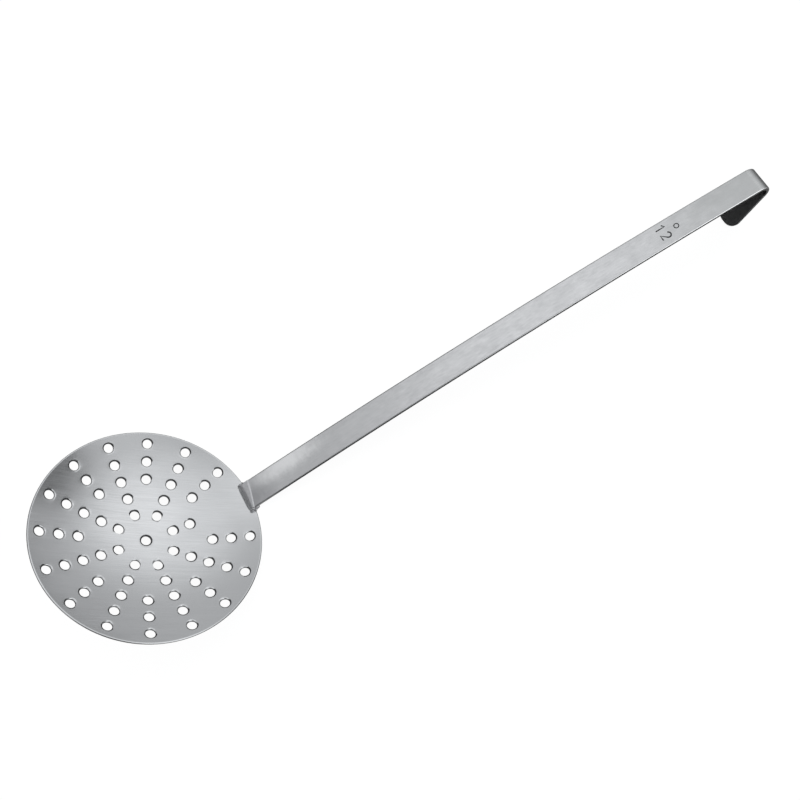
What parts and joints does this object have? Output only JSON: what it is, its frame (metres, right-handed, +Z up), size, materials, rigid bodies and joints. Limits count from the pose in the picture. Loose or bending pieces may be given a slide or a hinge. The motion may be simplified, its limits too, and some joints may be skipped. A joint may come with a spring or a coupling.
{
  "type": "kitchen skimmer",
  "caption": "Shallow round skimmer bowl with rings of drain holes, welded to a long flat handle that rises from its rim and ends in a bent-back hanging hook.",
  "frame": {"origin": "on the table, centre of the footprint of the skimmer as it lies on its rim's edge and its hook's tip", "axes": "+X from the bowl to the hook, +Y across the handle, +Z up from the table"},
  "size_m": [0.427, 0.12, 0.0668],
  "materials": {
    "bowl_steel": "satin stainless sheet, brushed",
    "handle_steel": "satin stainless strip, brushed along its length",
    "weld_steel": "weld metal, cleaned and dull"
  },
  "bodies": {
    "root": {"perforated_bowl": "bowl_steel", "handle_strip": "handle_steel", "weld_bead_upper": "weld_steel", "weld_bead_lower": "weld_steel"}
  },
  "joints": []
}
